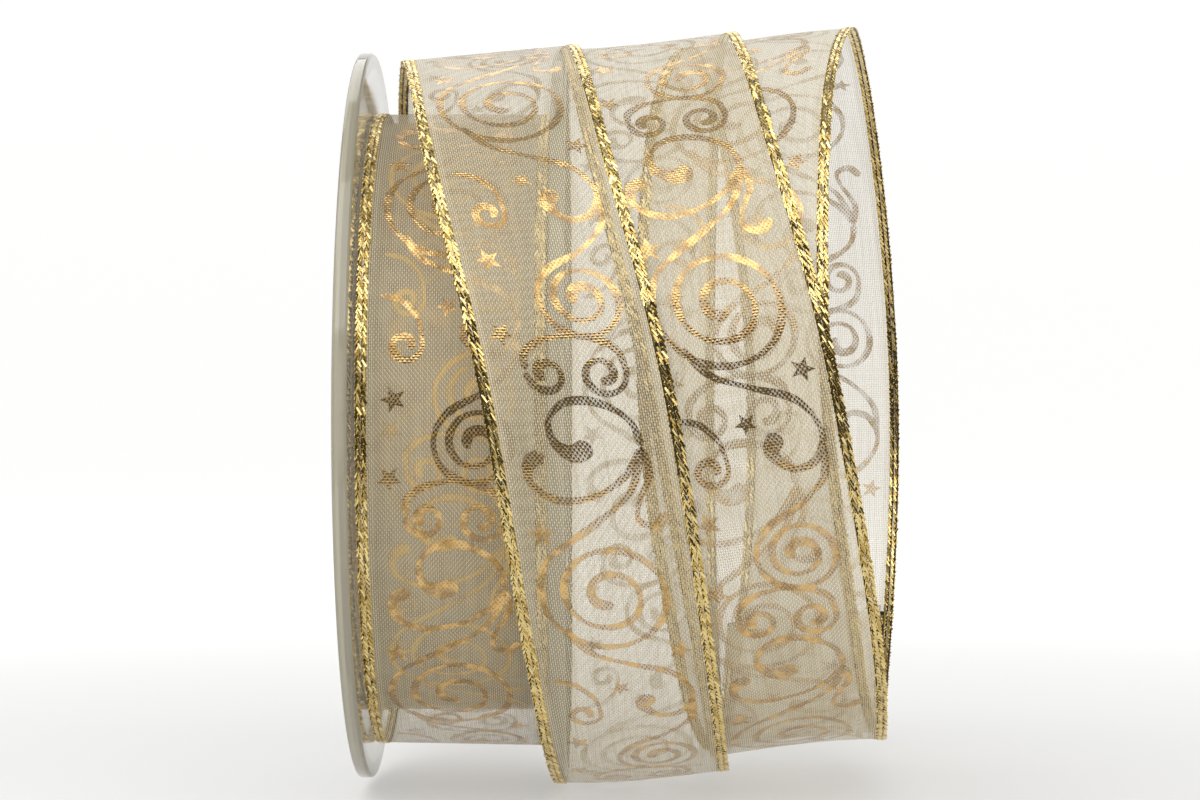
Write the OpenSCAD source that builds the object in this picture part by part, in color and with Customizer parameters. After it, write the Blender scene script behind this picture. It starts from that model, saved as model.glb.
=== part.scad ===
// Ribbon spool: two moulded flanges on a paper core, a roll of sheer ribbon with woven
// gold edges, and the outer turns of that ribbon drawn off sideways over the right flange.
// The spool's axis is X, the origin is the middle of its bore, and +Z is up.

/* [Ribbon] */
// Full width of the ribbon, gold edges included
ribbon_w = 25; // [15:0.5:38]
// Width of each woven gold edge
edge_w = 1.6; // [1.2:0.1:3]
// Thickness of a gold edge
edge_t = 0.4; // [0.36:0.02:0.5]
// Thickness of the sheer web between the gold edges
web_t = 0.24; // [0.2:0.02:0.36]
// Diameter of the wire that runs inside each gold edge
wire_d = 0.2; // [0.14:0.02:0.22]

/* [Flanges] */
// Outer diameter of both flanges
flange_d = 105; // [85:1:140]
// Thickness of a flange's disc
flange_t = 1.2; // [0.8:0.1:2]
// Axial thickness of the bead around a flange's rim
rim_t = 2; // [1.4:0.1:3]
// Radial width of that bead
rim_w = 2.2; // [1.5:0.1:4]
// Space beside the ribbon at each flange
side_play = 0.4; // [0.2:0.1:1.5]

/* [Core] */
// Outer diameter of the paper core
core_d = 44; // [36:1:60]
// Wall of the paper core
core_wall = 2; // [1:0.1:4]
// Bore that takes the dispenser's rod
bore_d = 20; // [12:0.5:24]
// Wall of the sleeve around the bore
sleeve_wall = 1.6; // [1:0.1:3]
// How far a flange's plug enters the core
plug_depth = 7; // [4:0.5:10]
// Wall of that plug
plug_wall = 1.5; // [1:0.1:2.5]
// Radial clearance of the plug in the core
plug_play = 0.05; // [0.02:0.01:0.2]
// Number of ribs between sleeve and plug
rib_count = 6; // [3:1:10]
// Thickness of a rib
rib_t = 1; // [0.6:0.1:2]

/* [Winding] */
// Diameter of the tightly wound roll
roll_d = 85.6; // [70:0.2:90]
// How far the last loose turn stands above the spool's axis
lift_max = 4.5; // [0:0.5:6]
// Length along the axis over which the loose turns rise
lift_span = 45; // [30:1:60]

/* [Tapes] */
// Length of the tape that holds the inner end, measured around the core in degrees
starter_angle = 50; // [20:5:90]
// Width of both tapes
tape_w = 12; // [6:1:14]
// Thickness of both tapes
tape_t = 0.1; // [0.06:0.02:0.14]

/* [Hidden] */
$fn = 96;
STEPS_PER_TURN = 48;   // rings of a swept strip in each turn
WEB_COLUMNS = 4;       // columns of a swept web
SLEEVE_GAP = 0.1;      // between the two flanges' sleeves, mid spool
HUB_RING_W = 2.4;      // radial width of the ring that backs the core
RIM_ROUND = 0.5;       // corner radius of the rim bead
STIFF_RING_H = 0.3;    // height of the ring halfway out on the disc
STIFF_RING_W = 1.2;    // and its radial width
TAPE_BED = 0.2;        // room between core and roll for the starter tape
BOND = 0.1;            // overlap that welds ribs and rings into a flange
OVER_RIM = 0.45;       // from the rim up to the middle of the first turn that crosses it
TUNNEL = 0.04;         // room around a wire in its gold edge
LAP_START = -1.25;     // turn at which the loose ribbon leaves the roll
TAIL_END = 2.625;      // turn at which it ends
TAPE_ON_TAIL = 2;      // rings of the end tape that hold the tail
TAPE_ON_TURN = 3;      // and rings that hold the turn outside it
TAPE_GAP = 0.05;       // the end tape's adhesive, on the tail and on that turn
RIB_SETBACK = 1;       // from a plug's end to the start of its ribs
CUT = 1;               // how far a cutting shape runs past what it cuts

rim_r = flange_d / 2;
core_r = core_d / 2;
roll_r = roll_d / 2;
bore_r = bore_d / 2;
plug_r = core_r - core_wall - plug_play;
half_in = ribbon_w / 2 + side_play;
web_half = ribbon_w / 2 - edge_w;
pitch = ribbon_w - edge_w;
lift_from = half_in + rim_t;
over_rim_r = rim_r + OVER_RIM;

// ---- the route of the loose ribbon ----

// Each station is [turns from the top, middle of the ribbon in pitches along X,
// radius of its middle, rise of the radius per millimetre across]. Whole turns are
// at the top; the ribbon comes down on the -Y side and goes up on the +Y side.
STATIONS = [
    [-1.25,  0.000, roll_r + 0.6, 0],
    [-1.00,  0.000, roll_r + 0.8, 0],
    [-0.75,  0.000, roll_r + 2.6, 0],
    [-0.50,  0.000, roll_r + 5.0, 0.02],
    [-0.25,  0.000, rim_r - 2.0, 0.08],
    [-0.125, 0.010, over_rim_r - 1.0, 0.12],
    [0.00,   0.127, over_rim_r - 0.5, 0.10],
    [0.125,  0.341, over_rim_r - 0.1, 0.055],
    [0.25,   0.731, over_rim_r + 0.1, 0.03],
    [0.375,  0.984, over_rim_r + 0.3, 0.02],
    [0.50,   1.101, over_rim_r + 0.5, 0.02],
    [0.75,   1.111, over_rim_r + 0.3, 0.015],
    [1.00,   1.121, over_rim_r + 0.1, 0],
    [1.125,  1.267, over_rim_r - 0.2, 0],
    [1.25,   1.627, over_rim_r - 0.6, 0],
    [1.375,  1.929, over_rim_r - 1.1, 0],
    [1.50,   2.085, over_rim_r - 1.5, 0],
    [1.75,   2.397, over_rim_r - 1.3, 0],
    [2.00,   1.910, over_rim_r - 1.2, 0],
    [2.125,  1.627, over_rim_r - 1.4, 0],
    [2.25,   1.578, over_rim_r - 1.6, 0],
    [2.375,  1.812, over_rim_r - 2.0, 0],
    [2.50,   2.075, over_rim_r - 2.4, 0],
    [2.80,   2.420, over_rim_r - 2.3, 0]
];
LAST = len(STATIONS) - 1;

function station_before(t) = max([for (i = [0 : LAST - 1]) if (STATIONS[i][0] <= t || i == 0) i]);

function slope_at(i, c) =
    let (a = max(i - 1, 0), b = min(i + 1, LAST))
    (STATIONS[b][c] - STATIONS[a][c]) / (STATIONS[b][0] - STATIONS[a][0]);

// Column c of the stations at turn t, on a smooth cubic through them
function along(t, c) =
    let (i = station_before(t),
         span = STATIONS[i + 1][0] - STATIONS[i][0],
         u = (t - STATIONS[i][0]) / span,
         u2 = u * u,
         u3 = u2 * u)
    (2 * u3 - 3 * u2 + 1) * STATIONS[i][c] + (u3 - 2 * u2 + u) * span * slope_at(i, c)
    + (3 * u2 - 2 * u3) * STATIONS[i + 1][c] + (u3 - u2) * span * slope_at(i + 1, c);

// Height of the loose turns' own axis above the spool's, at x
function lift(x) =
    let (u = min(1, max(0, (x - lift_from) / lift_span)))
    lift_max * u * u * (3 - 2 * u);

// The point at turn t, across millimetres from the ribbon's middle, out millimetres off it
function on_ribbon(t, across, out) =
    let (x = along(t, 1) * pitch + across,
         r = along(t, 2) + along(t, 3) * across + out)
    [x, -r * sin(360 * t), lift(x) + r * cos(360 * t)];

// A strip along the route: its section is a closed list of [across, out] points. Past
// the ribbon's tail it moves outwards, by rise at its end.
module strip(t0, t1, section, rise = 0) {
    n = len(section);
    rings = round((t1 - t0) * STEPS_PER_TURN);
    points = [for (k = [0 : rings], p = section)
        let (t = t0 + k / STEPS_PER_TURN)
        on_ribbon(t, p[0], p[1] + rise * max(0, (t - TAIL_END) / (t1 - TAIL_END)))];
    sides = [for (k = [0 : rings - 1], j = [0 : n - 1])
        let (a = k * n + j, b = k * n + (j + 1) % n)
        each [[a, b, a + n], [b, b + n, a + n]]];
    polyhedron(points = points, faces = concat(sides, cap(n, 0, 1), cap(n, rings * n, -1)));
}

// The end face of a strip whose section has its lower row first and its upper row last
function cap(n, from, way) = [for (j = [0 : n / 2 - 2])
    let (a = from + j, b = from + j + 1, c = from + n - 2 - j, d = from + n - 1 - j)
    each (way > 0 ? [[a, c, b], [a, d, c]] : [[a, b, c], [a, c, d]])];

// A flat section between two places across the ribbon, columns wide
function flat_section(a0, a1, out0, out1, columns) = concat(
    [for (j = [0 : columns]) [a0 + (a1 - a0) * j / columns, out0]],
    [for (j = [columns : -1 : 0]) [a0 + (a1 - a0) * j / columns, out1]]);

// A gold edge with the tunnel for its wire: two nested square rings swept together
module hollow_strip(t0, t1, middle, w, t, hole) {
    ring = [[-1, -1], [1, -1], [1, 1], [-1, 1]];
    rings = round((t1 - t0) * STEPS_PER_TURN);
    section = concat([for (p = ring) [middle + p[0] * w / 2, p[1] * t / 2]],
                     [for (p = ring) [middle + p[0] * hole / 2, p[1] * hole / 2]]);
    points = [for (k = [0 : rings], p = section) on_ribbon(t0 + k / STEPS_PER_TURN, p[0], p[1])];
    sides = [for (k = [0 : rings - 1], j = [0 : 3])
        let (a = k * 8 + j, b = k * 8 + (j + 1) % 4)
        each [[a, b, a + 8], [b, b + 8, a + 8], [a + 4, a + 12, b + 4], [b + 4, a + 12, b + 12]]];
    ends = [for (j = [0 : 3])
        let (b = (j + 1) % 4, e = rings * 8)
        each [[j, j + 4, b], [b, j + 4, b + 4], [e + j, e + b, e + j + 4], [e + b, e + b + 4, e + j + 4]]];
    polyhedron(points = points, faces = concat(sides, ends));
}

// ---- round parts, along X ----

module along_x(x0) { translate([x0, 0, 0]) rotate([0, 90, 0]) children(); }

module tube(r_in, r_out, x0, x1) {
    along_x(x0) difference() {
        cylinder(r = r_out, h = x1 - x0);
        translate([0, 0, -CUT]) cylinder(r = r_in, h = x1 - x0 + 2 * CUT);
    }
}

// The rim bead's section, with its outer corners rounded
module bead_section() {
    translate([rim_r - rim_w, 0]) square([rim_w - RIM_ROUND, rim_t]);
    translate([rim_r - rim_w, RIM_ROUND]) square([rim_w, rim_t - 2 * RIM_ROUND]);
    for (h = [RIM_ROUND, rim_t - RIM_ROUND]) translate([rim_r - RIM_ROUND, h]) circle(r = RIM_ROUND, $fn = 32);
}

// The right flange; the left one is its mirror image
module flange() {
    out = half_in + rim_t;
    middle_r = (core_r + rim_r - rim_w) / 2;
    rib_from = bore_r + sleeve_wall - BOND;
    rib_to = plug_r - plug_wall + BOND;
    difference() {
        union() {
            tube(bore_r, rim_r - rim_w + BOND, half_in, half_in + flange_t);
            along_x(half_in) rotate_extrude() bead_section();
            tube(core_r - HUB_RING_W / 2, core_r + HUB_RING_W / 2, half_in + flange_t - BOND, out - BOND);
            tube(middle_r, middle_r + STIFF_RING_W, half_in + flange_t - BOND, half_in + flange_t + STIFF_RING_H);
            tube(bore_r, bore_r + sleeve_wall, SLEEVE_GAP / 2, out - BOND);
            tube(plug_r - plug_wall, plug_r, half_in - plug_depth, half_in + BOND);
            for (i = [0 : rib_count - 1]) rotate([360 / rib_count * i, 0, 0])
                translate([half_in - plug_depth + RIB_SETBACK, rib_from, -rib_t / 2])
                cube([plug_depth - RIB_SETBACK + BOND, rib_to - rib_from, rib_t]);
        }
        along_x(-CUT) cylinder(r = bore_r, h = out + 2 * CUT);
    }
}

module right_flange() { color([0.84, 0.84, 0.8, 0.6]) flange(); }

module left_flange() { color([0.84, 0.84, 0.8, 0.6]) mirror([1, 0, 0]) flange(); }

module core_tube() { color([0.93, 0.9, 0.84]) tube(core_r - core_wall, core_r, -half_in, half_in); }

module starter_tape() {
    color([0.95, 0.93, 0.85]) along_x(-tape_w / 2)
        rotate_extrude(angle = starter_angle) translate([core_r, 0]) square([tape_t, tape_w]);
}

// ---- the roll ----

module wound_web() { color([0.9, 0.87, 0.8]) tube(core_r + TAPE_BED, roll_r, -web_half, web_half); }

module wound_left_edge() {
    color([0.83, 0.68, 0.3]) tube(core_r + TAPE_BED, roll_r, -ribbon_w / 2, -web_half);
}

module wound_right_edge() {
    color([0.83, 0.68, 0.3]) tube(core_r + TAPE_BED, roll_r, web_half, ribbon_w / 2);
}

// ---- the loose turns ----

module web_between(t0, t1) {
    color([0.93, 0.91, 0.86])
        strip(t0, t1, flat_section(-web_half, web_half, -web_t / 2, web_t / 2, WEB_COLUMNS));
}

module outer_turn() { web_between(LAP_START, -0.25); }

module loose_turn_1() { web_between(-0.25, 0.75); }

module loose_turn_2() { web_between(0.75, 1.75); }

module loose_turn_3() { web_between(1.75, TAIL_END); }

module gold_edge(side) {
    color([0.85, 0.7, 0.3])
        hollow_strip(LAP_START, TAIL_END, side * (web_half + edge_w / 2), edge_w, edge_t, wire_d + TUNNEL);
}

module left_gold_edge() { gold_edge(-1); }

module right_gold_edge() { gold_edge(1); }

module edge_wire(side) {
    middle = side * (web_half + edge_w / 2);
    color([0.75, 0.75, 0.78])
        strip(LAP_START, TAIL_END,
              flat_section(middle - wire_d / 2, middle + wire_d / 2, -wire_d / 2, wire_d / 2, 1));
}

module left_edge_wire() { edge_wire(-1); }

module right_edge_wire() { edge_wire(1); }

// Clear tape on the tail's inner face and on the turn outside it
module end_tape() {
    t0 = TAIL_END - TAPE_ON_TAIL / STEPS_PER_TURN;
    t1 = TAIL_END + TAPE_ON_TURN / STEPS_PER_TURN;
    rise = along(t1 - 1, 2) - along(t1, 2);
    outer_face = -web_t / 2 - TAPE_GAP;
    color([0.95, 0.95, 0.95, 0.5])
        strip(t0, t1, flat_section(-tape_w / 2, tape_w / 2, outer_face - tape_t, outer_face, 2), rise);
}

left_flange();
right_flange();
core_tube();
starter_tape();
wound_web();
wound_left_edge();
wound_right_edge();
outer_turn();
loose_turn_1();
loose_turn_2();
loose_turn_3();
left_gold_edge();
right_gold_edge();
left_edge_wire();
right_edge_wire();
end_tape();
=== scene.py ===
import math

import bpy
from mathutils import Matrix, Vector, noise


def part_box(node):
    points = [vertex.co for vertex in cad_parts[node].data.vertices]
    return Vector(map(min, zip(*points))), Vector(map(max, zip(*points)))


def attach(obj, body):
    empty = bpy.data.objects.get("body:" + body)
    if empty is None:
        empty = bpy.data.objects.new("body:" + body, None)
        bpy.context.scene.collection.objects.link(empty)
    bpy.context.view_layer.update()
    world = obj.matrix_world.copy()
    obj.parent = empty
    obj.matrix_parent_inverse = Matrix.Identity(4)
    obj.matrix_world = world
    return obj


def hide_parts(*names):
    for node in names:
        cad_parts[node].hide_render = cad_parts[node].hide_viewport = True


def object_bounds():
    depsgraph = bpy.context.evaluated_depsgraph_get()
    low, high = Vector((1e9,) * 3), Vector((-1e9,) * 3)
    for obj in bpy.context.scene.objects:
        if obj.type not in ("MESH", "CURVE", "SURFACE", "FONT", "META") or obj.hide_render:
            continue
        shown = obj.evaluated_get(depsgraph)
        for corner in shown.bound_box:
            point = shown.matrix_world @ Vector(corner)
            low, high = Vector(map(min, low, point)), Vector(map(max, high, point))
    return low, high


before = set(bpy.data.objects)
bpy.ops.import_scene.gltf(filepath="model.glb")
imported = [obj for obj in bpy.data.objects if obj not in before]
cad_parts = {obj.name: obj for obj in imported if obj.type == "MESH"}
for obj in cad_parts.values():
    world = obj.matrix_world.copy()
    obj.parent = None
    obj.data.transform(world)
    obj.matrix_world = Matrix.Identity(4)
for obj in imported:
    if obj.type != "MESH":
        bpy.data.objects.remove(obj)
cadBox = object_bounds()

mm = 0.001


def sizeOf(node, axis, end):
    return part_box(node)[end][axis] / mm


ribbonHalf = sizeOf("wound_right_edge", 0, 1)     # middle of the ribbon to its outer edge
webHalf = sizeOf("wound_right_edge", 0, 0)        # middle of the ribbon to where the gold begins
rollRadius = sizeOf("wound_web", 2, 1)
coreRadius = sizeOf("core_tube", 2, 1)
rimRadius = sizeOf("right_flange", 2, 1)
flangeOut = sizeOf("right_flange", 0, 1)
goldMiddle = (ribbonHalf + webHalf) / 2
pitch = ribbonHalf + webHalf


looseRoute = {
    "turnStart": -1.25,      # whole turns are at the top, and the ribbon comes down in front
    "turnEnd": 2.625,
    "overRim": rimRadius + 0.45,
    "liftMax": 4.5,
    "liftSpan": 45,
    "stepsPerTurn": 240,
    "swayAcross": 0.13,      # how far the edges wander sideways
    "swayTurns": 0.16,       # over which part of a turn
    "bellyOut": 0.22,        # how far the sheer middle bellies between its wires
    "puckerOut": 0.035,      # small gathers beside the gold edges
    "puckerLength": 3.4,
}

overRim = looseRoute["overRim"]

# turn, middle in ribbon pitches along X, radius of the middle, rise across the ribbon
stations = [
    (-1.25, 0, rollRadius + 0.6, 0),
    (-1.00, 0, rollRadius + 0.8, 0),
    (-0.75, 0, rollRadius + 2.6, 0),
    (-0.50, 0, rollRadius + 5.0, 0.02),
    (-0.25, 0, rimRadius - 2.0, 0.08),
    (-0.125, 0.01, overRim - 1.0, 0.12),
    (0.00, 0.127, overRim - 0.5, 0.10),
    (0.125, 0.341, overRim - 0.1, 0.055),
    (0.25, 0.731, overRim + 0.1, 0.03),
    (0.375, 0.984, overRim + 0.3, 0.02),
    (0.50, 1.101, overRim + 0.5, 0.02),
    (0.75, 1.111, overRim + 0.3, 0.015),
    (1.00, 1.121, overRim + 0.1, 0),
    (1.125, 1.267, overRim - 0.2, 0),
    (1.25, 1.627, overRim - 0.6, 0),
    (1.375, 1.929, overRim - 1.1, 0),
    (1.50, 2.085, overRim - 1.5, 0),
    (1.75, 2.397, overRim - 1.3, 0),
    (2.00, 1.91, overRim - 1.2, 0),
    (2.125, 1.627, overRim - 1.4, 0),
    (2.25, 1.578, overRim - 1.6, 0),
    (2.375, 1.812, overRim - 2.0, 0),
    (2.50, 2.075, overRim - 2.4, 0),
    (2.80, 2.42, overRim - 2.3, 0),
]


def slopeAt(i, column):
    a, b = max(i - 1, 0), min(i + 1, len(stations) - 1)
    return (stations[b][column] - stations[a][column]) / (stations[b][0] - stations[a][0])


def along(turn, column):
    i = max([k for k in range(len(stations) - 1) if stations[k][0] <= turn], default=0)
    a, b = stations[i], stations[i + 1]
    span = b[0] - a[0]
    u = (turn - a[0]) / span
    return ((2 * u ** 3 - 3 * u ** 2 + 1) * a[column] + (u ** 3 - 2 * u ** 2 + u) * span * slopeAt(i, column)
            + (3 * u ** 2 - 2 * u ** 3) * b[column] + (u ** 3 - u ** 2) * span * slopeAt(i + 1, column))


def lift(x):
    u = min(1, max(0, (x - flangeOut) / looseRoute["liftSpan"]))
    return looseRoute["liftMax"] * u * u * (3 - 2 * u)


def wander(value, lane):
    return noise.noise(Vector((value, 7.3 * lane + 0.37, 1.9)))


def loosePoint(turn, across, out=0.0):
    share = min(1, abs(across) / ribbonHalf)
    sway = looseRoute["swayAcross"] * wander(turn / looseRoute["swayTurns"], 1)
    belly = looseRoute["bellyOut"] * (1 - share ** 2) * wander(turn / 0.11, 2)
    fromEdge = max(0, webHalf - abs(across))
    lane = 3 if across < 0 else 4
    turnLength = 2 * math.pi * rimRadius
    gather = math.exp(-fromEdge / 2.2) * min(1, fromEdge) * looseRoute["puckerOut"]
    waves = 2 * math.pi * turn * turnLength / looseRoute["puckerLength"]
    pucker = gather * math.sin(waves + 5 * wander(turn * 9, lane))
    x = along(turn, 1) * pitch + across + sway
    r = along(turn, 2) + along(turn, 3) * across + belly + pucker + out
    angle = 2 * math.pi * turn
    return Vector((x, -r * math.sin(angle), lift(x) + r * math.cos(angle))) * mm


rollRoute = {
    "turns": 45,
    "stepsPerTurn": 120,
    "sheerTurns": 2,         # outer turns that are still seen through
    "unevenOut": 0.05,
    "unevenAcross": 0.12,
}

rollInside = coreRadius + 0.25
rollPitch = (rollRadius - rollInside) / rollRoute["turns"]


def rollPoint(turn, across, out=0.0):
    back = looseRoute["turnStart"] - turn
    r = rollRadius - back * rollPitch + rollRoute["unevenOut"] * wander(turn * 5, 6)
    sway = rollRoute["unevenAcross"] * wander(turn * 1.7, 5)
    angle = 2 * math.pi * turn
    return Vector((across + sway, -(r + out) * math.sin(angle), (r + out) * math.cos(angle))) * mm


def newPiece(name, verts, faces, smooth=True, uvs=None):
    mesh = bpy.data.meshes.new(name)
    mesh.from_pydata([tuple(v) for v in verts], [], faces)
    if smooth:
        mesh.polygons.foreach_set("use_smooth", [True] * len(mesh.polygons))
    if uvs:
        layer = mesh.uv_layers.new(name="UVMap")
        for loop in mesh.loops:
            layer.data[loop.index].uv = uvs[loop.vertex_index]
    mesh.update()
    piece = bpy.data.objects.new(name, mesh)
    bpy.context.scene.collection.objects.link(piece)
    return piece


def turnsBetween(start, end, stepsPerTurn):
    count = max(1, round((end - start) * stepsPerTurn))
    return [start + (end - start) * k / count for k in range(count + 1)]


def lengthsAlong(turns, route):
    total, lengths = 0.0, [0.0]
    for a, b in zip(turns, turns[1:]):
        total += (route(b, 0) - route(a, 0)).length
        lengths.append(total)
    return lengths


def ribbonSheet(name, route, start, end, stepsPerTurn, acrossFrom, acrossTo, columns, lengthFrom=0.0):
    # one open layer of cloth; its UV map holds metres along and across the ribbon
    turns = turnsBetween(start, end, stepsPerTurn)
    lengths = lengthsAlong(turns, route)
    verts, uvs, faces = [], [], []
    for turn, length in zip(turns, lengths):
        for j in range(columns + 1):
            across = acrossFrom + (acrossTo - acrossFrom) * j / columns
            verts.append(route(turn, across))
            uvs.append((lengthFrom + length, across * mm))
    row = columns + 1
    for k in range(len(turns) - 1):
        for j in range(columns):
            a = k * row + j
            faces.append((a, a + row, a + row + 1, a + 1))
    return newPiece(name, verts, faces, uvs=uvs), lengths[-1]


def ribbonTape(name, route, start, end, stepsPerTurn, acrossFrom, acrossTo, outFrom, outTo, lengthFrom=0.0):
    # a closed strip with a thickness, for the gold edges' ground and for clear tape
    turns = turnsBetween(start, end, stepsPerTurn)
    lengths = lengthsAlong(turns, route)
    corners = [(acrossFrom, outFrom), (acrossTo, outFrom), (acrossTo, outTo), (acrossFrom, outTo)]
    verts, uvs, faces = [], [], []
    for turn, length in zip(turns, lengths):
        for across, out in corners:
            verts.append(route(turn, across, out))
            uvs.append((lengthFrom + length, across * mm))
    for k in range(len(turns) - 1):
        for j in range(4):
            a, b = k * 4 + j, k * 4 + (j + 1) % 4
            faces.append((a, a + 4, b + 4, b))
    last = (len(turns) - 1) * 4
    faces.append((0, 1, 2, 3))
    faces.append((last + 3, last + 2, last + 1, last))
    piece = newPiece(name, verts, faces, smooth=False, uvs=uvs)
    piece.data.polygons.foreach_set("use_smooth", [True] * (len(faces) - 2) + [False, False])
    return piece


def ribbonWire(name, route, start, end, stepsPerTurn, across, radius, sides=6):
    turns = turnsBetween(start, end, stepsPerTurn)
    verts, faces = [], []
    for turn in turns:
        for j in range(sides):
            angle = 2 * math.pi * j / sides
            verts.append(route(turn, across + radius * math.cos(angle), radius * math.sin(angle)))
    for k in range(len(turns) - 1):
        for j in range(sides):
            a, b = k * sides + j, k * sides + (j + 1) % sides
            faces.append((a, a + sides, b + sides, b))
    last = (len(turns) - 1) * sides
    faces.append(tuple(range(sides)))
    faces.append(tuple(last + j for j in reversed(range(sides))))
    return newPiece(name, verts, faces)


class Link:
    # one socket of a node tree, so that sums of sockets read as plain maths

    def __init__(self, net, socket):
        self.net, self.socket = net, socket

    def maths(self, operation, *values):
        return self.net.node("ShaderNodeMath", {"operation": operation}, dict(enumerate(values)))

    def __add__(self, other): return self.maths("ADD", self, other)
    def __radd__(self, other): return self.maths("ADD", other, self)
    def __sub__(self, other): return self.maths("SUBTRACT", self, other)
    def __rsub__(self, other): return self.maths("SUBTRACT", other, self)
    def __mul__(self, other): return self.maths("MULTIPLY", self, other)
    def __rmul__(self, other): return self.maths("MULTIPLY", other, self)
    def __truediv__(self, other): return self.maths("DIVIDE", self, other)
    def __pow__(self, other): return self.maths("POWER", self, other)
    def __mod__(self, other): return self.maths("FLOORED_MODULO", self, other)
    def cosine(self): return self.maths("COSINE", self)
    def fraction(self): return self.maths("FRACT", self)
    def most(self, other): return self.maths("MAXIMUM", self, other)
    def least(self, other): return self.maths("MINIMUM", self, other)

    def ramp(self, low, high, outLow=0.0, outHigh=1.0):
        return self.net.node("ShaderNodeMapRange", {"interpolation_type": "SMOOTHSTEP"}, {
            "Value": self, "From Min": low, "From Max": high, "To Min": outLow, "To Max": outHigh})


class Net:
    def __init__(self, tree):
        self.tree = tree

    def node(self, kind, settings=None, sockets=None, out=0):
        item = self.tree.nodes.new(kind)
        for key, value in (settings or {}).items():
            if key == "stops":
                self.setStops(item.color_ramp, value)
            else:
                setattr(item, key, value)
        for key, value in (sockets or {}).items():
            target = item.inputs[key]
            if isinstance(value, Link):
                self.tree.links.new(value.socket, target)
            else:
                target.default_value = value
        return Link(self, item.outputs[out]) if item.outputs else item

    def setStops(self, colorRamp, stops):
        for place, colour in stops[len(colorRamp.elements):]:
            colorRamp.elements.new(place)
        for element, (place, colour) in zip(colorRamp.elements, stops):
            element.position = place
            element.color = (*colour, 1)

    def clothNoise(self, place, scale, detail, out=0):
        return self.node("ShaderNodeTexNoise", {"noise_dimensions": "2D"}, {
            "Vector": place, "Scale": scale, "Detail": detail}, out=out)

    def chance(self, low, high, seed):
        sockets = {2: low, 3: high, "Seed": seed}
        return self.node("FunctionNodeRandomValue", {"data_type": "FLOAT"}, sockets, out=1)

    def mixColour(self, share, a, b):
        return self.node("ShaderNodeMix", {"data_type": "RGBA"}, {0: share, 6: a, 7: b}, out=2)


def newMaterial(name):
    material = bpy.data.materials.new(name)
    material.use_nodes = True
    material.node_tree.nodes.clear()
    return material, Net(material.node_tree)


def colour(r, g, b):
    return (r, g, b, 1)


clothLook = {
    "warpPitch": 0.29 * mm,
    "weftPitch": 0.37 * mm,
    "ivory": colour(0.765, 0.685, 0.505),
    # shade: painted shade between the yarns' crowns, also the darker tone of thick warp yarns
    "shade": colour(0.50, 0.42, 0.27),
    "packed": colour(0.41, 0.325, 0.185),
    "packedPrint": colour(0.68, 0.43, 0.045),
    "holeAlpha": 0.17,
    "warpAlpha": 0.46,       # added by a warp yarn
    "weftAlpha": 0.22,       # added by a weft yarn
    "crownAlpha": 0.10,      # added where a yarn lies on top of the one it crosses
    "through": 0.25,         # share of light that passes through the yarns
}


def clothPlaces(net):
    uv = net.node("ShaderNodeUVMap", {"uv_map": "UVMap"})
    parts = net.node("ShaderNodeSeparateXYZ", {}, {0: uv})
    return uv, Link(net, parts.socket.node.outputs[0]), Link(net, parts.socket.node.outputs[1])


def yarnLines(net, uv, s, v):
    wobble = net.clothNoise(uv, 260, 1)
    sWoven, vWoven = s + wobble * 0.0003, v + wobble * 0.00018
    weft = (sWoven * (2 * math.pi / clothLook["weftPitch"])).cosine()
    warp = (vWoven * (2 * math.pi / clothLook["warpPitch"])).cosine()
    halfWeft, halfWarp = math.pi / clothLook["weftPitch"], math.pi / clothLook["warpPitch"]
    crowns = (sWoven * halfWeft).cosine() * (vWoven * halfWarp).cosine()
    return warp, weft, crowns


def streaks(net, s, v, alongScale, acrossScale):
    place = net.node("ShaderNodeCombineXYZ", {}, {0: s * alongScale, 1: v * acrossScale})
    return net.clothNoise(place, 1.0, 1)


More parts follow.
